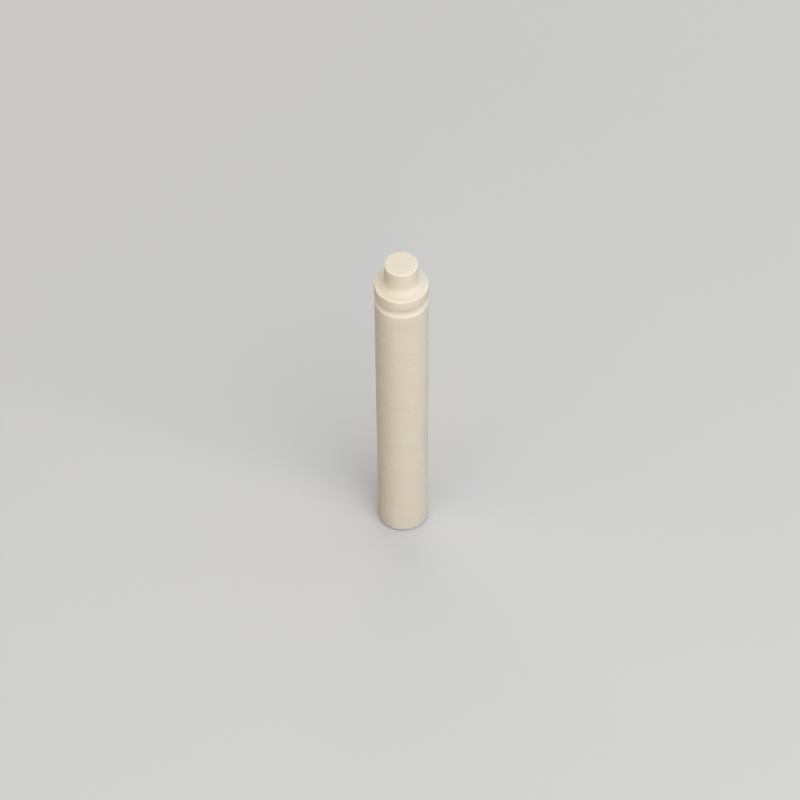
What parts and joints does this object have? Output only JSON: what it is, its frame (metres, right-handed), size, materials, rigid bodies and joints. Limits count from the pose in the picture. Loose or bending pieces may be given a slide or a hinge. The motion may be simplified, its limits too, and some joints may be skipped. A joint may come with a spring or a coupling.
{
  "type": "ceramic locating pin",
  "caption": "Round ivory ceramic pin with a long ground shank, a round groove under a short collar, a flat shoulder and a reduced locating spigot.",
  "frame": {"origin": "centre of the foot's flat end face, on the pin's axis", "axes": "+Z along the axis from the foot to the spigot's tip; the pin is round, so X and Y are any two directions square to it"},
  "size_m": [0.008, 0.008, 0.057],
  "materials": {
    "alumina": "fired and ground, matt ivory"
  },
  "bodies": {
    "root": {"locating_pin": "alumina"}
  },
  "joints": []
}
